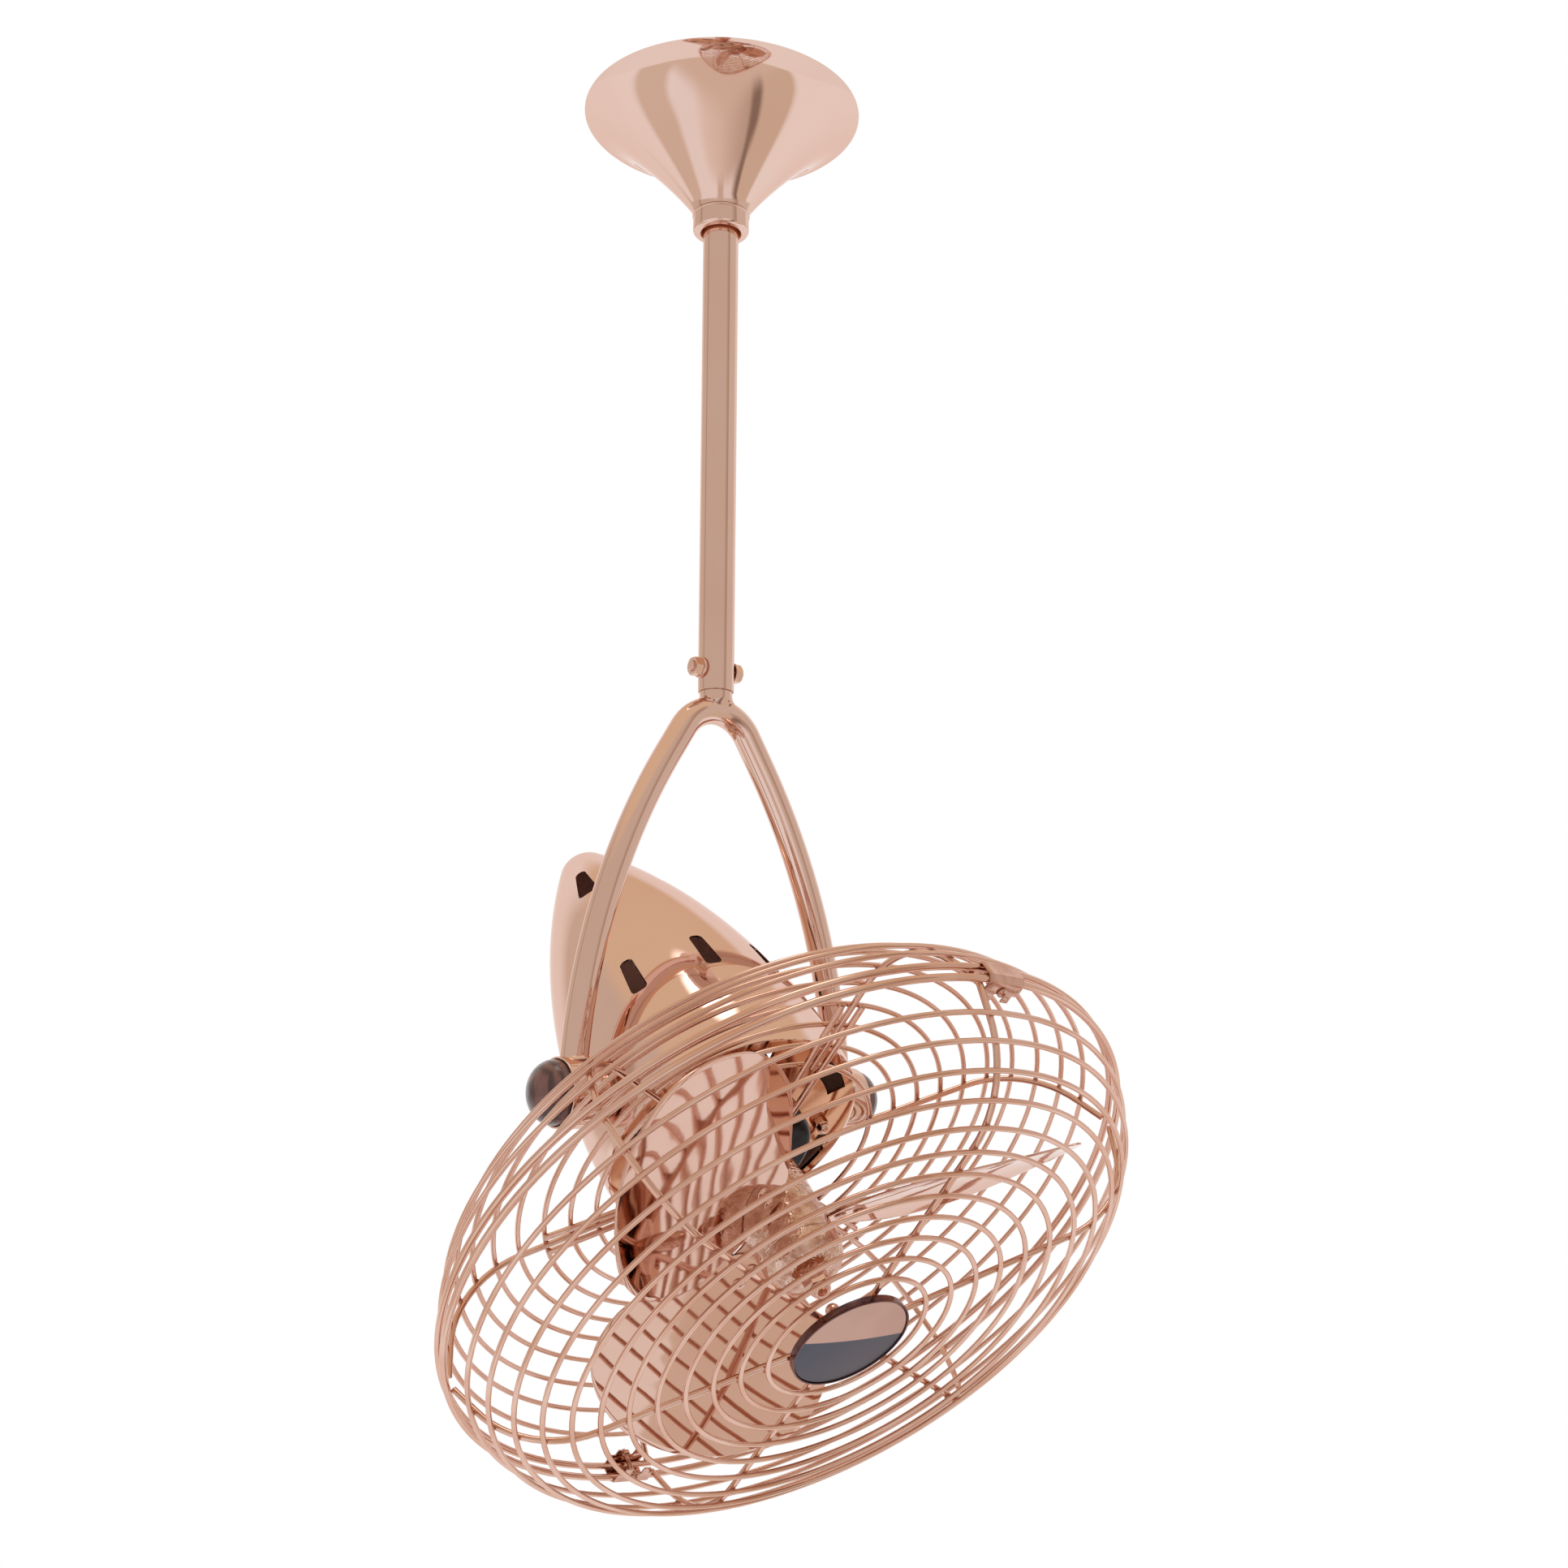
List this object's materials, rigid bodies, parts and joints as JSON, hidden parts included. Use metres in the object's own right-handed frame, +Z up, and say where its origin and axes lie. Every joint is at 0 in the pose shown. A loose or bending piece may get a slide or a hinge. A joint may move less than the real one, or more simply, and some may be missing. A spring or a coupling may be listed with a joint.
{
  "type": "directional fan",
  "caption": "Directional ceiling fan: a wire-caged fan head tilts in a yoke that hangs from a down rod under a trumpet canopy, held by two side knobs.",
  "frame": {"origin": "on the ceiling plane, midway between the two ceiling screw holes, on the down rod's axis", "axes": "+Z up along the down rod, X along the tilt pivot, the cage faces -Y and down at rest"},
  "size_m": [0.402, 0.3955, 0.8315],
  "materials": {
    "ceiling_bracket": "satin",
    "terminal_block": "matte",
    "terminal_screws": "satin",
    "hanger_ball": "gloss",
    "hanger_pin": "satin",
    "downrod": "polished",
    "yoke_neck": "polished",
    "yoke_fork": "polished",
    "pivot_collars": "polished",
    "yoke_bolt": "polished",
    "yoke_bolt_nut": "polished",
    "yoke_bolt_washers": "polished",
    "canopy": "polished",
    "canopy_collar": "polished",
    "canopy_grip_ring": "matte",
    "collar_grub_screw": "satin",
    "tail_shell": "polished",
    "front_band": "polished",
    "front_plate": "polished",
    "tie_rods": "satin",
    "acorn_nuts": "polished",
    "motor_front_bell": "gloss",
    "motor_rear_bell": "gloss",
    "stator_core": "satin",
    "stator_windings": "enamelled",
    "front_bearing": "satin",
    "rear_bearing": "satin",
    "motor_bolts": "satin",
    "motor_bolt_nuts": "polished",
    "capacitor_clip": "satin",
    "capacitor": "matte",
    "guard_struts": "polished",
    "rear_guard": "polished",
    "front_guard": "polished",
    "guard_clips": "polished",
    "clip_screws": "polished",
    "clip_nuts": "polished",
    "badge": "polished",
    "badge_rim": "polished",
    "badge_back_plate": "polished",
    "badge_screw": "satin",
    "badge_nut": "polished",
    "pivot_studs": "satin",
    "pivot_washers": "matte",
    "motor_shaft": "satin",
    "motor_rotor": "satin",
    "rotor_hub": "copper plated and polished",
    "hub_cap": "copper plated and polished",
    "hub_nut": "polished",
    "blade_1": "copper plated and polished",
    "blade_2": "copper plated and polished",
    "blade_3": "copper plated and polished",
    "blade_screws": "polished",
    "left_knob": "polished",
    "left_knob_insert": "satin",
    "right_knob": "polished",
    "right_knob_insert": "satin"
  },
  "bodies": {
    "root": {"ceiling_bracket": "ceiling_bracket", "terminal_block": "terminal_block", "terminal_screws": "terminal_screws", "hanger_ball": "hanger_ball", "hanger_pin": "hanger_pin", "downrod": "downrod", "yoke_neck": "yoke_neck", "yoke_fork": "yoke_fork", "pivot_collars": "pivot_collars", "yoke_bolt": "yoke_bolt", "yoke_bolt_nut": "yoke_bolt_nut", "yoke_bolt_washers": "yoke_bolt_washers"},
    "canopy": {"canopy": "canopy", "canopy_collar": "canopy_collar", "canopy_grip_ring": "canopy_grip_ring", "collar_grub_screw": "collar_grub_screw"},
    "head": {"tail_shell": "tail_shell", "front_band": "front_band", "front_plate": "front_plate", "tie_rods": "tie_rods", "acorn_nuts": "acorn_nuts", "motor_front_bell": "motor_front_bell", "motor_rear_bell": "motor_rear_bell", "stator_core": "stator_core", "stator_windings": "stator_windings", "front_bearing": "front_bearing", "rear_bearing": "rear_bearing", "motor_bolts": "motor_bolts", "motor_bolt_nuts": "motor_bolt_nuts", "capacitor_clip": "capacitor_clip", "capacitor": "capacitor", "guard_struts": "guard_struts", "rear_guard": "rear_guard", "front_guard": "front_guard", "guard_clips": "guard_clips", "clip_screws": "clip_screws", "clip_nuts": "clip_nuts", "badge": "badge", "badge_rim": "badge_rim", "badge_back_plate": "badge_back_plate", "badge_screw": "badge_screw", "badge_nut": "badge_nut", "pivot_studs": "pivot_studs", "pivot_washers": "pivot_washers"},
    "rotor": {"motor_shaft": "motor_shaft", "motor_rotor": "motor_rotor", "rotor_hub": "rotor_hub", "hub_cap": "hub_cap", "hub_nut": "hub_nut", "blade_1": "blade_1", "blade_2": "blade_2", "blade_3": "blade_3", "blade_screws": "blade_screws"},
    "left_knob": {"left_knob": "left_knob", "left_knob_insert": "left_knob_insert"},
    "right_knob": {"right_knob": "right_knob", "right_knob_insert": "right_knob_insert"}
  },
  "joints": [
    {"name": "head_tilt", "type": "hinge", "parent": "root", "child": "head", "pos_m": [0, 0, -0.5925], "axis": [1, 0, 0], "range_deg": [-45, 134]},
    {"name": "rotor_spin", "type": "hinge", "parent": "head", "child": "rotor", "pos_m": [0, 0, -0.5925], "axis": [0, -0.6997, -0.7145], "continuous": true},
    {"name": "left_knob_turn", "type": "hinge", "parent": "head", "child": "left_knob", "pos_m": [-0.1115, 0, -0.5925], "axis": [-1, 0, 0], "range_deg": [0, 360]},
    {"name": "right_knob_turn", "type": "hinge", "parent": "head", "child": "right_knob", "pos_m": [0.1115, 0, -0.5925], "axis": [1, 0, 0], "range_deg": [0, 360]},
    {"name": "canopy_slide", "type": "slide", "parent": "root", "child": "canopy", "axis": [0, 0, 1], "range_m": [-0.25, 0]}
  ]
}
